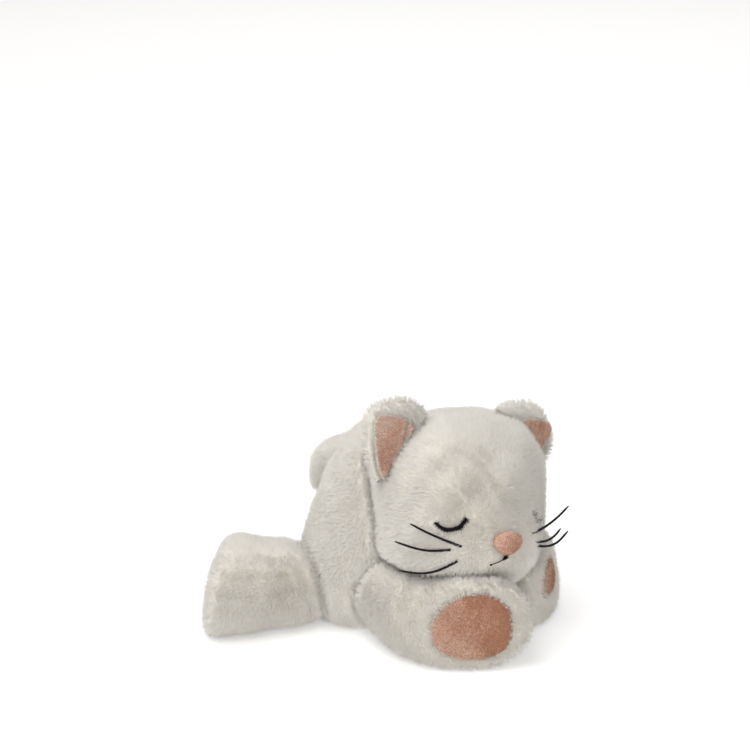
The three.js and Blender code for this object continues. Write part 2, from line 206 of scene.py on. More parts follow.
BACKING = mottled_cloth("fur_backing_cloth", (0.82, 0.78, 0.70), (0.90, 0.865, 0.79), grain=900)
FUR_TONES = [
    plain_cloth("fur_light", (0.93, 0.90, 0.84), sheen=FUR_SHEEN),
    plain_cloth("fur_cream", (0.91, 0.875, 0.80), sheen=FUR_SHEEN),
    plain_cloth("fur_warm", (0.87, 0.825, 0.74), sheen=FUR_SHEEN),
]
PINK_BACKING = mottled_cloth("velour_backing", (0.46, 0.23, 0.155), (0.58, 0.32, 0.23), grain=700)
# Velour tones: mid, deep and pale. Which one a strand gets is partly random and partly painted sheen, as
# velour chooses it.
PINK_TONES = [
    plain_cloth("velour_pink", (0.62, 0.345, 0.22), sheen=VELOUR_SHEEN),
    plain_cloth("velour_deep_pink", (0.46, 0.22, 0.125), sheen=VELOUR_SHEEN),
    plain_cloth("velour_pale_pink", (0.78, 0.57, 0.46), sheen=VELOUR_SHEEN),
]
PALE_PINK_TONES = [
    plain_cloth("velour_light_pink", (0.72, 0.485, 0.38), sheen=VELOUR_SHEEN),
    plain_cloth("velour_rose", (0.55, 0.29, 0.20), sheen=VELOUR_SHEEN),
    plain_cloth("velour_cream_pink", (0.84, 0.65, 0.55), sheen=VELOUR_SHEEN),
]
LINING_TONES = [
    plain_cloth("lining_pink", (0.82, 0.58, 0.47), sheen=VELOUR_SHEEN),
    plain_cloth("lining_rose", (0.66, 0.38, 0.28), sheen=VELOUR_SHEEN),
    plain_cloth("lining_cream_pink", (0.90, 0.73, 0.63), sheen=VELOUR_SHEEN),
]
THREAD = plain_cloth("embroidery_thread", (0.006, 0.005, 0.005))
WHISKER_THREAD = plain_cloth("waxed_thread", (0.005, 0.004, 0.004), roughness=0.7)


# ------------------------------------------------------------------ pieces

def new_piece(name, vertices, faces, materials, slots=None, smooth=True):
    """A mesh object from arrays of vertices and equal-sided faces."""
    mesh = bpy.data.meshes.new(name)
    faces = np.asarray(faces, dtype=np.int32)
    count, sides = faces.shape
    mesh.vertices.add(len(vertices))
    mesh.vertices.foreach_set("co", np.asarray(vertices, dtype=np.float32).ravel())
    mesh.loops.add(count * sides)
    mesh.loops.foreach_set("vertex_index", faces.ravel())
    mesh.polygons.add(count)
    mesh.polygons.foreach_set("loop_start", np.arange(0, count * sides, sides, dtype=np.int32))
    if slots is not None:
        mesh.polygons.foreach_set("material_index", np.asarray(slots, dtype=np.int32))
    mesh.polygons.foreach_set("use_smooth", np.full(count, smooth))
    for material in materials:
        mesh.materials.append(material)
    mesh.update(calc_edges=True)
    mesh.validate()
    return linked(name, mesh)


def applied(piece):
    """Bakes a piece's modifiers into its mesh."""
    bpy.context.view_layer.update()
    graph = bpy.context.evaluated_depsgraph_get()
    mesh = bpy.data.meshes.new_from_object(piece.evaluated_get(graph))
    piece.modifiers.clear()
    old = piece.data
    piece.data = mesh
    bpy.data.meshes.remove(old)
    mesh.name = piece.name
    return piece


def remeshed(piece, voxel, smoothing):
    """The same body with even faces of a voxel's size, its edges smoothed off."""
    remesh = piece.modifiers.new("remesh", "REMESH")
    remesh.mode = "VOXEL"
    remesh.voxel_size = voxel
    smooth = piece.modifiers.new("smooth", "SMOOTH")
    smooth.factor = 0.5
    smooth.iterations = smoothing
    return applied(piece)


def skin_arrays(piece):
    """A piece's vertices, vertex normals and triangles."""
    mesh = piece.data
    places = np.empty(len(mesh.vertices) * 3)
    mesh.vertices.foreach_get("co", places)
    normals = np.empty(len(mesh.vertices) * 3)
    mesh.vertex_normals.foreach_get("vector", normals)
    mesh.calc_loop_triangles()
    triangles = np.empty(len(mesh.loop_triangles) * 3, dtype=np.int32)
    mesh.loop_triangles.foreach_get("vertices", triangles)
    return places.reshape(-1, 3), normals.reshape(-1, 3), triangles.reshape(-1, 3)


def set_places(piece, places):
    """Moves a skin's vertices, and shades it smooth."""
    piece.data.vertices.foreach_set("co", np.asarray(places, dtype=np.float32).ravel())
    piece.data.update()
    piece.data.polygons.foreach_set("use_smooth", np.ones(len(piece.data.polygons), dtype=bool))


def keep_off_floor(places):
    places[:, 2] = np.maximum(places[:, 2], FLOOR_CLEAR)


def mesh_piece(name, body_mesh, material):
    """An object from a bmesh, which is freed."""
    mesh = bpy.data.meshes.new(name)
    body_mesh.to_mesh(mesh)
    body_mesh.free()
    mesh.materials.append(material)
    return linked(name, mesh)


def hull_piece(name, node, material):
    """A closed body round all of a CAD node, with its sockets filled."""
    hull = bmesh.new()
    for place in points_of(node):
        hull.verts.new(place)
    result = bmesh.ops.convex_hull(hull, input=hull.verts)
    inside = result["geom_interior"] + result["geom_unused"]
    spare = {item for item in inside if isinstance(item, bmesh.types.BMVert)}
    bmesh.ops.delete(hull, geom=list(spare), context="VERTS")
    bmesh.ops.recalc_face_normals(hull, faces=hull.faces)
    return mesh_piece(name, hull, material)


LUMP_SIZE = 38 * MM        # from one low lump in the stuffing to the next
SETTLED_BELOW = 12 * MM    # lower than this, the cloth comes closer to the outline
SETTLED_BY = 0.55


def backing(name, node, body, stands_for, pile=PILE, voxel=3.5 * MM, smoothing=3, lumps=0.8 * MM, seed=0):
    """The stuffed cloth under a part's fur, which stands for the CAD shell and its stuffing."""
    piece = remeshed(hull_piece(name, node, BACKING), voxel, smoothing)
    places, normals, _ = skin_arrays(piece)
    lumpy = waves(places, LUMP_SIZE, seed + 900)[:, :1] * lumps
    drawn_in = 1 - SETTLED_BY * np.clip(1 - places[:, 2:] / SETTLED_BELOW, 0, 1)
    places = places - normals * (pile * drawn_in + 0.3 * lumps - lumpy)
    keep_off_floor(places)
    set_places(piece, places)
    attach(piece, body)
    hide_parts(*stands_for)
    return piece


# ------------------------------------------------------------------ pile

def waves(places, size, seed, count=5):
    """A smooth field of vectors, about as wide as size from crest to crest, the same each run."""
    rng = np.random.default_rng(seed)
    total = np.zeros_like(places)
    for _ in range(count):
        way = unit(rng.normal(size=3)) * (2 * math.pi / size) * rng.uniform(0.6, 1.5)
        phase = rng.uniform(0, 2 * math.pi, size=3)
        along = places @ way
        total += np.sin(along[:, None] + phase[None, :])
    return total / math.sqrt(count)


def roots_on(piece, per_mm2, rng):
    """Evenly scattered places on a skin, with the skin's normal at each."""
    places, normals, triangles = skin_arrays(piece)
    a, b, c = (places[triangles[:, k]] for k in range(3))
    areas = np.linalg.norm(np.cross(b - a, c - a), axis=1) / 2
    count = int(areas.sum() * 1e6 * per_mm2)
    steps = (np.arange(count) + rng.uniform(size=count)) / count
    chosen = np.searchsorted(np.cumsum(areas) / areas.sum(), steps)
    chosen = np.minimum(chosen, len(triangles) - 1)
    u, v = rng.uniform(size=(2, count))
    over = u + v > 1
    u[over], v[over] = 1 - u[over], 1 - v[over]
    w = 1 - u - v
    corners = triangles[chosen]
    at = a[chosen] * w[:, None] + b[chosen] * u[:, None] + c[chosen] * v[:, None]
    normal = (normals[corners[:, 0]] * w[:, None] + normals[corners[:, 1]] * u[:, None]
              + normals[corners[:, 2]] * v[:, None])
    return at, units(normal)


def search_tree(places):
    tree = KDTree(len(places))
    for i, place in enumerate(places):
        tree.insert(place, i)
    tree.balance()
    return tree


def gathered(tips, roots, tuft, strength, rng):
    """Pulls the strands' tips together into tufts of about tuft strands, and says which tuft each is in."""
    count = len(roots)
    middles = rng.choice(count, size=max(1, int(count / tuft)), replace=False)
    tree = search_tree(roots[middles])
    own = np.array([tree.find(place)[1] for place in roots])
    sums = np.zeros((len(middles), 3))
    np.add.at(sums, own, tips)
    sizes = np.maximum(np.bincount(own, minlength=len(middles)), 1)
    shared = (sums / sizes[:, None])[own]
    share = (strength * rng.uniform(0.3, 1.0, size=count))[:, None]
    return tips * (1 - share) + shared * share, own


def varied(width, count, rng):
    """Widths of strands round a given one."""
    return width * rng.uniform(0.7, 1.2, size=count)


def strands(name, roots, normals, tips, width, tones, tone_of, softness=0.7, lift=0.0):
    """Closed three-sided tapered strands, shaded partly like the skin that they grow from.

    softness is the skin's share in the shading. lift turns the shading upwards, the way that light
    spreads down through a real pile.
    """
    count = len(roots)
    axis = units(tips - roots)
    side = units(np.cross(axis, np.where(np.abs(axis[:, 2:3]) > 0.9, [[1.0, 0, 0]], [[0, 0, 1.0]])))
    other = np.cross(axis, side)
    corners = []
    outward = []
    for k in range(3):
        angle = 2 * math.pi * k / 3
        away = side * math.cos(angle) + other * math.sin(angle)
        corners.append(roots + away * (width[:, None] / 2))
        outward.append(units(normals * softness + away * (1 - softness) + UP * lift))
    corners.append(tips)
    outward.append(units(normals * softness + axis * (1 - softness) * 0.5 + UP * lift))
    vertices = np.stack(corners, axis=1).reshape(-1, 3)
    shading = np.stack(outward, axis=1).reshape(-1, 3)
    first = (np.arange(count) * 4)[:, None, None]
    pattern = np.array([[0, 1, 3], [1, 2, 3], [2, 0, 3], [0, 2, 1]])[None, :, :]
    faces = (first + pattern).reshape(-1, 3)
    piece = new_piece(name, vertices, faces, tones, np.repeat(tone_of, 4))
    piece.data.normals_split_custom_set_from_vertices(shading.tolist())
    return piece


def tree_of(piece):
    """A search tree of a skin's vertices, with their places and normals."""
    places, normals, _ = skin_arrays(piece)
    return search_tree(places), places, normals


TOUCHING = 2 * MM          # pile leans over fully when a neighbour is this near
GAP_BOTTOM = 6 * MM        # pile stands up out of a gap when a neighbour is nearer than this


def over_gaps(roots, normals, neighbours):
    """How pile closes the gap between a part and its neighbours.

    Gives the way that it lies towards them and how much, then the normals, which turn out of a gap's
    bottom, and how deep in a gap each root is.
    """
    pull = np.zeros_like(roots)
    most = np.zeros(len(roots))
    deep = np.zeros(len(roots))
    turned = normals.copy()
    for (tree, places, near_normals), reach in neighbours:
        low, high = places.min(axis=0) - reach, places.max(axis=0) + reach
        close = np.flatnonzero(np.all((roots > low) & (roots < high), axis=1))
        if len(close) == 0:
            continue
        found = [tree.find(root)[1:] for root in roots[close]]
        nearest = np.array([index for index, _ in found])
        gap = np.array([distance for _, distance in found])
        share = np.clip(1 - (gap - TOUCHING) / reach, 0, 1)
        bottom = np.clip(1 - gap / GAP_BOTTOM, 0, 1)
        pull[close] += units(places[nearest] - roots[close]) * share[:, None]
        turned[close] += near_normals[nearest] * bottom[:, None]
        most[close] = np.maximum(most[close], share)
        deep[close] = np.maximum(deep[close], bottom)
    return pull, most[:, None], units(turned), deep


GUARD_HAIRS = 0.12         # share of the strands that stand longer than the rest
GUARD_LENGTH = 1.35
SWIRL_SIZE = 50 * MM       # from crest to crest of the broad waves in the way the pile lies
RUFFLE_SIZE = 13 * MM      # and of the fine ones
STRAY = 0.2                # how far single strands leave the way that the rest lies
FUR_SOFTNESS = 0.38
FUR_LIFT = 0.24
SPLIT_WAY = np.array([0.8, 0.6, 0.0])   # a long pile is split into pieces along this way


def fur(skin, body, comb, length=5.7 * MM, per_mm2=2.8, width=0.42 * MM, lean=0.45, wild=0.15,
        tuft=16, strength=0.7, trim=None, keep=None, neighbours=(), seed=1):
    """Long pile on a skin. comb gives the way it lies, trim how long it is, keep where it grows.

    lean is how far it lies down, wild how ruffled it is, and neighbours the skins whose gaps it closes.
    """
    rng = np.random.default_rng(seed)
    roots, normals = roots_on(skin, per_mm2, rng)
    kept = roots[:, 2] > ROOT_CLEAR
    if keep is not None:
        kept &= keep(roots)
    roots, normals = roots[kept], normals[kept]
    pull, share, normals, deep = over_gaps(roots, normals, neighbours)
    lie = comb(roots, normals) * (1 - share) + pull
    lean = lean * (1 + share) * (1 - deep[:, None])
    lie = lie - normals * np.sum(lie * normals, axis=1, keepdims=True)
    lie = lie / np.maximum(np.linalg.norm(lie, axis=1, keepdims=True), 0.35)
    swirl = waves(roots, SWIRL_SIZE, seed + 50) * 0.1 + waves(roots, RUFFLE_SIZE, seed + 60) * wild
    swirl = swirl + rng.normal(size=roots.shape) * STRAY
    way = units(normals + lie * lean + swirl)
    long = length * rng.uniform(0.75, 1.15, size=len(roots)) * (1 + 0.6 * deep)
    guard_hairs = rng.uniform(size=len(roots)) < GUARD_HAIRS
    long = long * np.where(guard_hairs, GUARD_LENGTH, 1.0)
    if trim is not None:
        long = long * trim(roots)
    tips = roots + way * long[:, None]
    tips, tuft_of = gathered(tips, roots, tuft, strength, rng)
    keep_off_floor(tips)
    shade = rng.normal(size=tuft_of.max() + 1)[tuft_of] * 0.5 + rng.normal(size=len(roots)) * 0.6
    tone_of = np.digitize(shade, [0.1, 0.9])
    wide = varied(width, len(roots), rng)
    order = np.argsort(roots @ SPLIT_WAY, kind="stable")
    parts = math.ceil(len(roots) / STRANDS_IN_PIECE)
    for k, chosen in enumerate(np.array_split(order, parts)):
        suffix = f"_{k + 1}" if parts > 1 else ""
        piece = strands(f"{body}_fur{suffix}", roots[chosen], normals[chosen], tips[chosen], wide[chosen],
                        FUR_TONES, tone_of[chosen], softness=FUR_SOFTNESS, lift=FUR_LIFT)
        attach(piece, body)


# ------------------------------------------------------------------ the body's parts

HANG = 0.3                 # how much the fur hangs under its own weight


def steady(way):
    """A comb that lays all of the fur one way."""
    return lambda roots, normals: np.broadcast_to(unit(np.asarray(way, dtype=float)), roots.shape)


def away_from_nose(roots, normals):
    """Fur on the face runs back from the nose, and hangs a little."""
    spread = units(roots - NOSE_MIDDLE)
    spread = units(spread - normals * np.sum(spread * normals, axis=1, keepdims=True))
    return spread - UP * HANG


def pad_frame(node, inner):
    """An oval pad's middle, its three ways (across, up, out) and its half sizes."""
    places = points_of(node)
    middle, ways = main_ways(places)
    outward = ways[2] if (middle - inner) @ ways[2] > 0 else -ways[2]
    across = unit(np.cross(UP, outward))
    rise = np.cross(outward, across)
    reach = [np.abs((places - middle) @ way).max() for way in (across, rise)]
    return middle, across, rise, outward, reach


PAD_SQUARENESS = 0.06
PAD_FULLNESS = 0.06
PAD_CUT = 0.12
PAD_CUT_AT = 2.4           # radians round the pad, at the upper left
PAD_CUT_WIDTH = 0.55


def pad_swell(x, y):
    """How far a pad's outline stands outside its oval: squarer, fuller below, cut at the upper left."""
    angle = np.arctan2(y, x)
    cut = np.exp(-((angle - PAD_CUT_AT) / PAD_CUT_WIDTH) ** 2)
    squarer = PAD_SQUARENESS * np.sin(2 * angle) ** 2
    return 1 + squarer + PAD_FULLNESS * np.maximum(0, -np.sin(angle)) - PAD_CUT * cut


PAD_MARGIN = 2.0 * MM      # fur grows this far inside a pad's edge
PAD_SIDE = 12 * MM         # a root is on the pad's side when it is at most this far behind the pad
PAD_RIM = 0.2              # fur leans over the pad from this share of its size outside the edge


def fur_round_pad(node, inner, margin):
    """Fur that runs to the end of a limb, keeps off its pad, and leans over the pad's rim."""
    middle, across, rise, outward, reach = pad_frame(node, inner)
    along = unit(outward - UP * HANG)

    def outside(roots):
        """How far outside the pad's outline, as a share of its size, and whether on its side."""
        away = roots - middle
        x, y = away @ across / (reach[0] - margin), away @ rise / (reach[1] - margin)
        return np.hypot(x, y) / pad_swell(x, y), away @ outward > -PAD_SIDE

    def keep(roots):
        share, near = outside(roots)
        return ~((share < 1) & near)

    def comb(roots, normals):
        share, near = outside(roots)
        rim = (np.clip(1 - (share - 1) / PAD_RIM, 0, 1) * near)[:, None]
        return along * (1 - rim) + units(middle - roots) * rim * 1.2

    return comb, keep


# margin and shown draw in a pad that shows little: how far fur grows over it, and the share left.
PARTS = {
    "torso": dict(node="torso_fur_shell", also=["belly_pellet_pouch"], comb=steady((0, 0.5, -0.8)), seed=3),
    "right_arm": dict(node="right_arm_fur_shell", pad="right_paw_pad", seed=5),
    "left_arm": dict(node="left_arm_fur_shell", pad="left_paw_pad", margin=11 * MM, shown=0.66, seed=7),
    "right_leg": dict(node="right_leg_fur_shell", pad="right_sole_pad", margin=7 * MM, shown=0.85, seed=9),
    "left_leg": dict(node="left_leg_fur_shell", pad="left_sole_pad", margin=7 * MM, shown=0.85, seed=11),
    "tail": dict(node="tail_fur_shell", comb=steady((0, 0.7, -0.5)), seed=13),
}

skins = {body: backing(f"{body}_skin", part["node"], body,
                       [part["node"], f"{body}_stuffing", *part.get("also", [])], seed=part["seed"])
         for body, part in PARTS.items()}
skins["head"] = backing("head_skin", "head_fur_shell", "head", ["head_fur_shell", "head_stuffing"],
                        smoothing=10, seed=21)
trees = {body: tree_of(skin) for body, skin in skins.items()}
NEXT_TO = {body: ["torso", "head"] for body in ("right_arm", "left_arm")}
NEXT_TO |= {body: ["torso"] for body in ("right_leg", "left_leg", "tail")}
NEXT_TO |= {"torso": [body for body in skins if body != "torso"], "head": ["torso", "right_arm", "left_arm"]}


GAP_REACH = 14 * MM        # how near a neighbour has to be for pile to lean towards it


def neighbours_of(body):
    return [(trees[other], GAP_REACH) for other in NEXT_TO[body]]


for body, part in PARTS.items():
    comb, keep = part.get("comb"), None
    if "pad" in part:
        comb, keep = fur_round_pad(part["pad"], middle_of(part["node"]), part.get("margin", PAD_MARGIN))
    fur(skins[body], body, comb, keep=keep, neighbours=neighbours_of(body), seed=part["seed"])


# ------------------------------------------------------------------ head

def laid_on(skin_tree, path, height):
    """Moves a path to a height above a skin, and gives the skin's normals along it."""
    tree, places, normals = skin_tree
    nearest = [tree.find(place)[1] for place in path]
    normal = normals[nearest]
    over = np.sum((path - places[nearest]) * normal, axis=1, keepdims=True)
    return path + normal * (height - over), normal


def resampled(path, count, smoothing=4):
    """A smooth path of count points through the given ones."""
    path = np.asarray(path, dtype=float)
    reach = np.concatenate([[0], np.cumsum(np.linalg.norm(np.diff(path, axis=0), axis=1))])
    fine = np.linspace(0, reach[-1], count)
    smooth = np.stack([np.interp(fine, reach, path[:, k]) for k in range(3)], axis=1)
    for _ in range(smoothing):
        smooth[1:-1] = (smooth[:-2] + 2 * smooth[1:-1] + smooth[2:]) / 4
    return smooth


def stitch_path(node, controls, count=24):
    """A path through (x, z) points of the face, in the head's frame, at the depth of its CAD thread."""
    thread = seen_from_head(points_of(node))
    flat = []
    for x, z in controls:
        near = np.argsort(np.hypot(thread[:, 0] - x, thread[:, 2] - z))[:8]
        flat.append([x, thread[near, 1].mean(), z])
    return resampled(on_head(flat), count)


EYE_CURVE = [(-9, 2), (-5, -1.5), (-1, -2.5), (5, 0.5), (10, 7)]
STITCHES = {
    "right_eye_stitching": [(-38 + x, z) for x, z in EYE_CURVE],
    "left_eye_stitching": [(42 - x, z) for x, z in EYE_CURVE],
    "mouth_stitching": [(6, -17.5), (5.5, -21), (1.5, -23.5), (-9, -26)],
}
paths = {node: stitch_path(node, controls) for node, controls in STITCHES.items()}
stitched = np.concatenate([paths[node][::2] for node in ("right_eye_stitching", "mouth_stitching")])


def centreline(node, count):
    """Points along the middle of a thread, from one end to the other."""
    places = points_of(node)
    middle, ways = main_ways(places)
    along = (places - middle) @ ways[0]
    edges = np.linspace(along.min() - 1e-6, along.max() + 1e-6, count + 1)
    inside = [(along >= edges[k]) & (along <= edges[k + 1]) for k in range(count)]
    path = np.array([places[chosen].mean(axis=0) for chosen in inside if chosen.any()])
    path[0] += (path[0] - path[1]) * 0.5
    path[-1] += (path[-1] - path[-2]) * 0.5
    return path


def whisker_path(node):
    """A whisker's middle line, from its root to its tip."""
    path = centreline(node, 5)
    if np.linalg.norm(path[0] - NOSE_MIDDLE) > np.linalg.norm(path[-1] - NOSE_MIDDLE):
        path = path[::-1]
    return resampled(path, 24, smoothing=8)


WHISKER_NODES = [f"{side_name}_whisker_{k}" for side_name in ("right", "left") for k in (1, 2, 3)]
WHISKERS = {node: whisker_path(node) for node in WHISKER_NODES}
whisker_roots = np.concatenate([path[:9:2] for path in WHISKERS.values()])


def gap_to(roots, places):
    """How far each root is from the nearest of the places."""
    return np.min(np.linalg.norm(roots[:, None, :] - places[None, :, :], axis=2), axis=1)


THREAD_TRIM = 0.38         # how long the pile is, as a share, where it is clipped shortest
NOSE_TRIM = 0.62
WHISKER_TRIM = 0.65
CHIN_EXTRA = 0.15


def least_of(least, share):
    """From the least value up to 1 as the share goes from 0 to 1."""
    return least + (1 - least) * share


def face_trim(roots):
    """The pile is clipped short at the right eye, mouth, whiskers and nose, and stays long at the chin."""
    off_thread = rising(gap_to(roots, stitched), 4 * MM, 5 * MM)
    off_whisker = rising(gap_to(roots, whisker_roots), 3 * MM, 4 * MM)
    off_nose = rising(np.linalg.norm(roots - NOSE_MIDDLE, axis=1), 11 * MM, 22 * MM)
    clipped = least_of(THREAD_TRIM, off_thread) * least_of(NOSE_TRIM, off_nose)
    chin = CHIN_EXTRA * rising(-seen_from_head(roots)[:, 2], 24, 12)
    return clipped * least_of(WHISKER_TRIM, off_whisker) + chin


EAR_SEEDS = {"right": 71, "left": 75}
ears = {side_name: backing(f"{side_name}_ear_skin", f"{side_name}_ear_fur_back", f"{side_name}_ear",
                           [f"{side_name}_ear_fur_back"], pile=3.2 * MM, voxel=1.8 * MM, lumps=0.4 * MM,
                           seed=seed)
        for side_name, seed in EAR_SEEDS.items()}
fur(skins["head"], "head", away_from_nose, trim=face_trim, seed=21,
    neighbours=neighbours_of("head") + [(tree_of(ear), 5 * MM) for ear in ears.values()])


def placed(piece, body, node, replaces=True):
    """Ties a piece to its body and its CAD node, which it replaces unless it only adds to it."""
    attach(piece, body)
    if replaces:
        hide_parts(node)
    return piece


def tube(name, path, radii, material, sides=8):
    """A round thread along a path, closed at both ends."""
    path = np.asarray(path)
    ways = units(np.gradient(path, axis=0))
    body_mesh = bmesh.new()
    rows = []
    for place, way, radius in zip(path, ways, radii):
        side = unit(np.cross(way, UP if abs(way[2]) < 0.9 else np.array([1.0, 0, 0])))
        other = np.cross(way, side)
        angles = np.linspace(0, 2 * math.pi, sides, endpoint=False)
        ring = place + radius * (np.cos(angles)[:, None] * side + np.sin(angles)[:, None] * other)
        rows.append([body_mesh.verts.new(corner) for corner in ring])
    for row, following in zip(rows, rows[1:]):
        for k in range(sides):
            body_mesh.faces.new((row[k], row[(k + 1) % sides], following[(k + 1) % sides], following[k]))
    body_mesh.faces.new(rows[0][::-1])
    body_mesh.faces.new(rows[-1])
    bmesh.ops.recalc_face_normals(body_mesh, faces=body_mesh.faces)
    for face in body_mesh.faces:
        face.smooth = True
    return mesh_piece(name, body_mesh, material)


def fuzz(name, path, normals, count, reach, thickness, seed):
    """Loose black fibres that stand out of an embroidered line, longest at its far end."""
    rng = np.random.default_rng(seed)
    along = rng.uniform(0, len(path) - 1.001, size=count)
    i = along.astype(int)
    t = (along - i)[:, None]
    base = path[i] * (1 - t) + path[i + 1] * t
    normal = units(normals[i])
    way = units(path[i + 1] - path[i])
    across = np.cross(normal, way) * rng.choice([-1, 1], size=count)[:, None]
    out = units(across + normal * 0.7 + way * rng.normal(size=(count, 1)) * 0.5)
    long = reach * rng.uniform(0.6, 1.0, size=count) * (0.75 + 0.5 * along / len(path))
    base = base + rng.normal(size=base.shape) * thickness * 0.3
    return strands(name, base, normal, base + out * long[:, None], np.full(count, 0.42 * MM), [THREAD],
                   np.zeros(count, dtype=int))


EYE_RADIUS = 1.35 * MM
EYES = {
    "right_eye_stitching": dict(height=3.0 * MM, fibres=420),
    "left_eye_stitching": dict(height=1.9 * MM, fibres=320),
}
for node, eye in EYES.items():
    path, normals = laid_on(trees["head"], paths[node], eye["height"])
    ends = np.sin(np.linspace(0.35, 2.8, len(path)))
    placed(tube(f"{node}_thread", path, EYE_RADIUS * ends ** 0.5, THREAD), "head", node)
    lashes = fuzz(f"{node}_lashes", path, normals, eye["fibres"], reach=3.4 * MM, thickness=1.4 * MM, seed=31)
    placed(lashes, "head", node, replaces=False)

# The mouth's thick knot under the nose runs out into one thin thread. Radii in millimetres.
MOUTH_HEIGHT = 2.6 * MM
MOUTH_ALONG = [0, 0.12, 0.3, 0.42, 0.9, 1]
MOUTH_RADII = [0.9, 1.5, 1.3, 0.4, 0.35, 0.8]
path, _ = laid_on(trees["head"], paths["mouth_stitching"], MOUTH_HEIGHT)
radii = np.interp(np.linspace(0, 1, len(path)), MOUTH_ALONG, MOUTH_RADII)
placed(tube("mouth_stitching_thread", path, radii * MM, THREAD), "head", "mouth_stitching")

for node, path in WHISKERS.items():
    radii = np.interp(np.linspace(0, 1, len(path)), [0, 0.9, 1], [0.95 * MM, 0.8 * MM, 0.45 * MM])
    placed(tube(f"{node}_thread", path, radii, WHISKER_THREAD), "head", node)


# ------------------------------------------------------------------ velour

NAP_WAVES = 26 * MM        # from crest to crest of the waves in the way the velour's pile lies
NAP_RIPPLES = 7 * MM
PAINTED_SHEEN_PATCHES = 24 * MM     # from one patch of painted sheen on the velour to the next, broad and then small
SMALL_PAINTED_SHEEN_PATCHES = 5 * MM
# Over this length the painted sheen along a piece's painted_sheen_way grows by about one tone.
PAINTED_SHEEN_OVER = 20 * MM


def velour(skin, body, node, seed, ahead, painted_sheen_way, tones=PINK_TONES, length=1.5 * MM, per_mm2=4.0,
           width=0.46 * MM):
    """Short pile on the side that shows. Its nap drifts, and painted sheen makes some patches of the cloth
    lighter.

    painted_sheen_way is the way along which painted sheen makes it lighter across the whole piece.
    """
    rng = np.random.default_rng(seed)
    roots, normals = roots_on(skin, per_mm2, rng)
    kept = (roots[:, 2] > VELOUR_ROOT_CLEAR) & (normals @ ahead > 0.15)
    roots, normals = roots[kept], normals[kept]
    nap = waves(roots, NAP_WAVES, seed + 5) * 0.4 + waves(roots, NAP_RIPPLES, seed + 6) * 0.25
    way = units(normals + nap + rng.normal(size=roots.shape) * 0.25)
    tips = roots + way * (length * rng.uniform(0.7, 1.2, size=len(roots)))[:, None]
    # Painted sheen: broad and small patches of lighter and darker tone.
    patches = waves(roots, PAINTED_SHEEN_PATCHES, seed + 7)[:, 0] * 0.45
    shade = patches + waves(roots, SMALL_PAINTED_SHEEN_PATCHES, seed + 8)[:, 0] * 0.35
    # Random tone for each strand, and painted sheen that makes the cloth lighter along painted_sheen_way.
    shade = shade + rng.normal(size=len(roots)) * 0.8 + (roots - roots.mean(axis=0)) @ painted_sheen_way / PAINTED_SHEEN_OVER
    tone_of = np.select([shade < -0.3, shade > 0.7], [1, 2], 0)
    wide = varied(width, len(roots), rng)
    piece = strands(f"{node}_velour", roots, normals, tips, wide, tones, tone_of)
    placed(piece, body, node, replaces=False)


def fringe(skin, body, node, ahead, seed, inward, length=3.6 * MM, per_mm2=5.0, width=0.34 * MM):
    """Fine fur that stands at the rim of a velour piece and leans inward over its edge."""
    rng = np.random.default_rng(seed)
    roots, normals = roots_on(skin, per_mm2, rng)
    facing = normals @ ahead
    kept = (facing > -0.6) & (facing < 0.4) & (roots[:, 2] > ROOT_CLEAR)
    roots, normals = roots[kept], normals[kept]
    middle = skin_arrays(skin)[0].mean(axis=0)
    way = units(ahead * 0.9 + normals * (0.45 - inward) + units(middle - roots) * inward
                + rng.normal(size=roots.shape) * 0.28)
    tips = roots + way * (length * rng.uniform(0.5, 1.1, size=len(roots)))[:, None]
    keep_off_floor(tips)
    wide = varied(width, len(roots), rng)
    tone_of = np.digitize(rng.normal(size=len(roots)), [0.3, 1.2])
    piece = strands(f"{node}_fringe", roots, units(normals + ahead), tips, wide, FUR_TONES, tone_of,
                    softness=0.6, lift=0.22)
    placed(piece, body, node, replaces=False)


def patch(node, body, seed, shape, ahead, voxel=1.6 * MM, smoothing=4, tones=PINK_TONES,
          length=1.5 * MM, inward=None, painted_sheen_way=(0.0, 0.0, 0.0)):
    """A padded velour piece that faces ahead. shape says where each of its points goes.

    It gets a fringe where inward, the fringe's lean over it, is given.
    """
    piece = remeshed(hull_piece(f"{node}_skin", node, PINK_BACKING), voxel, smoothing)
    places, _, _ = skin_arrays(piece)
    set_places(piece, shape(places))
    placed(piece, body, node)
    velour(piece, body, node, seed, ahead, np.asarray(painted_sheen_way), tones=tones, length=length)
    if inward is not None:
        fringe(piece, body, node, ahead, seed + 200, inward)


PAD_FLATNESS = 0.62
PAD_RAISED = 1.2 * MM


def pad_shape(node, inner, shown):
    """Sinks a pad into the fur round it, flattens it, squares its outline, and draws it in."""
    middle, across, rise, outward, reach = pad_frame(node, inner)

    def shape(places):
        away = places - middle
        x, y, z = away @ across, away @ rise, away @ outward
        swell = pad_swell(x / reach[0], y / reach[1]) * shown
        x, y, z = x * swell, y * swell, z * PAD_FLATNESS + PAD_RAISED
        return middle + np.outer(x, across) + np.outer(y, rise) + np.outer(z, outward)

    return shape


for body, part in PARTS.items():
    if "pad" in part:
        inner = middle_of(part["node"])
        shape = pad_shape(part["pad"], inner, part.get("shown", 1.0))
        _, across, rise, outward, _ = pad_frame(part["pad"], inner)
        # Painted sheen: each pad's velour grows lighter against its across and rise ways, towards one side
        # and its lower edge.
        patch(part["pad"], body, part["seed"] + 40, shape, ahead=outward, inward=0.3,
              painted_sheen_way=-1.1 * across - 0.4 * rise)


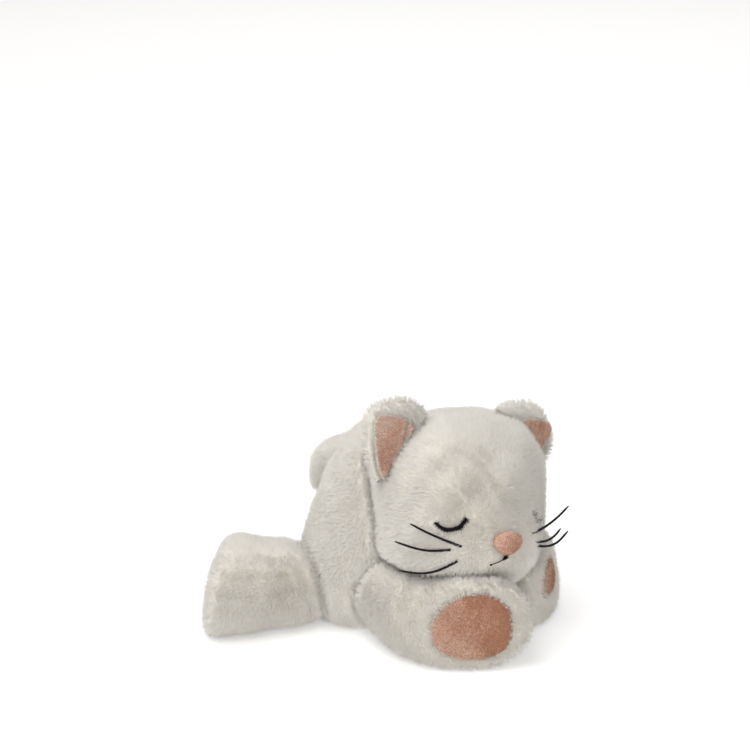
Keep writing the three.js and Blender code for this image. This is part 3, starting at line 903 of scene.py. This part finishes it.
def nose_shape(places):
    """Broader and flatter above, rounder below."""
    middle = seen_from_head(NOSE_MIDDLE[None, :])[0]
    away = seen_from_head(places) - middle
    height = away[:, 2] / 8
    away[:, 0] *= 1.1 + 0.1 * height
    away[:, 2] *= np.where(height > 0, 0.93, 1.06)
    return on_head(middle + away)


AHEAD = unit(on_head([0, -1000, 0]) - HEAD_AT)
# Painted sheen: the nose's velour is lighter towards its top.
patch("nose", "head", 61, nose_shape, voxel=0.9 * MM, tones=PALE_PINK_TONES, length=1.0 * MM, ahead=AHEAD,
      painted_sheen_way=1.6 * UP)

# In the head's frame, in millimetres: the linings' middles, and a crease down the right one's inner edge.
EAR_MIDDLES = {"right": (-66, 48), "left": (59, 46)}
CREASE = [(-50, 64), (-52.5, 58.5), (-54, 54), (-54, 48)]
CREASE_WIDTH = 1.2
CREASE_DEPTH = 2.2
FOLD_HEIGHT = 1.2


def lining_shape(side_name):
    """Hollows a lining, draws in its outer and upper edges, and folds the right one at its crease."""
    middle = EAR_MIDDLES[side_name]

    def shape(places):
        seen = seen_from_head(places)
        x, z = seen[:, 0], seen[:, 2]
        outer = np.clip(((x - middle[0]) / 20) ** 2 + ((z - middle[1]) / 28) ** 2, 0, 1)
        seen[:, 1] += 1.6 + 1.6 * outer
        seen[:, 0] = x - np.minimum(x - middle[0], 0) * 0.1
        seen[:, 2] = z - np.maximum(z - middle[1], 0) * 0.1
        if side_name == "right":
            line_x = np.interp(-z, [-point[1] for point in CREASE], [point[0] for point in CREASE])
            span = rising(z, 46, 4) * rising(-z, -66, 4)
            seen[:, 1] += CREASE_DEPTH * np.exp(-((x - line_x) / CREASE_WIDTH) ** 2) * span
            seen[:, 1] -= FOLD_HEIGHT * rising(x - line_x, 1, 3) * span
        return on_head(seen)

    return shape


def outside_lining(lining):
    """Keeps the ear's fur off the front of its lining."""
    flat = seen_from_head(lining)
    front = flat[:, 1].max()
    flat = flat[::3, [0, 2]]

    def keep(roots):
        seen = seen_from_head(roots)
        gap = np.min(np.linalg.norm(seen[:, None, [0, 2]] - flat[None, :, :], axis=2), axis=1)
        return (gap > 0.5) | (seen[:, 1] > front + 5)

    return keep


def over_lining(side_name):
    """The ear's fur runs up and out at the back, and a little over the lining at the front."""
    x, z = EAR_MIDDLES[side_name]
    middle = on_head([x, 0, z])

    def comb(roots, normals):
        out = units(roots - middle)
        front = np.clip(normals @ AHEAD * 2, 0, 1)[:, None]
        return out * (0.6 - 1.2 * front) + UP * 0.3 * (1 - front)

    return comb


for side_name, seed in EAR_SEEDS.items():
    body = f"{side_name}_ear"
    node = f"{body}_fur_back"
    shape = lining_shape(side_name)
    fur(ears[side_name], body, over_lining(side_name), length=6 * MM, per_mm2=3.4, lean=0.6,
        neighbours=[(trees["head"], 4 * MM)], keep=outside_lining(shape(points_of(f"{body}_lining"))),
        seed=seed)
    patch(f"{body}_lining", body, seed + 2, shape, ahead=AHEAD, voxel=1.1 * MM, tones=LINING_TONES,
          inward=0.25)


# ------------------------------------------------------------------ stage and light

FLOOR_HALF_WIDTH = 30
FLOOR_GLOW = 0.28          # keeps the floor white where the lights fall off


def make_floor():
    cloth = plain_cloth("pale_floor", (0.88, 0.88, 0.88))
    shader = cloth.node_tree.nodes["Principled BSDF"]
    shader.inputs["Emission Color"].default_value = (1.0, 1.0, 1.0, 1.0)
    shader.inputs["Emission Strength"].default_value = FLOOR_GLOW
    far = FLOOR_HALF_WIDTH
    corners = [(-far, -far, 0), (far, -far, 0), (far, far, 0), (-far, far, 0)]
    floor = new_piece("floor", corners, [(0, 1, 2, 3)], [cloth], smooth=False)


def area_light(name, place, aim, size, watts):
    data = bpy.data.lights.new(name, "AREA")
    data.shape = "DISK"
    data.size = size
    data.energy = watts
    light = linked(name, data)
    light.location = place
    light.rotation_euler = (Vector(aim) - Vector(place)).to_track_quat("-Z", "Y").to_euler()


def make_world(colour, strength):
    world = bpy.data.worlds.new("studio")
    world.use_nodes = True
    background = world.node_tree.nodes["Background"]
    background.inputs["Color"].default_value = colour
    background.inputs["Strength"].default_value = strength
    bpy.context.scene.world = world


CAT_MIDDLE = (0, 0, 0.05)
make_floor()
area_light("key", place=(-0.7, 0.25, 1.7), aim=CAT_MIDDLE, size=1.5, watts=16)
area_light("fill", place=(-1.3, -0.8, 0.7), aim=CAT_MIDDLE, size=1.4, watts=5)
area_light("backdrop", place=(2.4, 1.5, 1.6), aim=(2.4, 1.5, 0), size=3.4, watts=8)
make_world(colour=(1.0, 0.99, 0.97, 1.0), strength=0.66)
bpy.context.scene.view_settings.view_transform = "Standard"
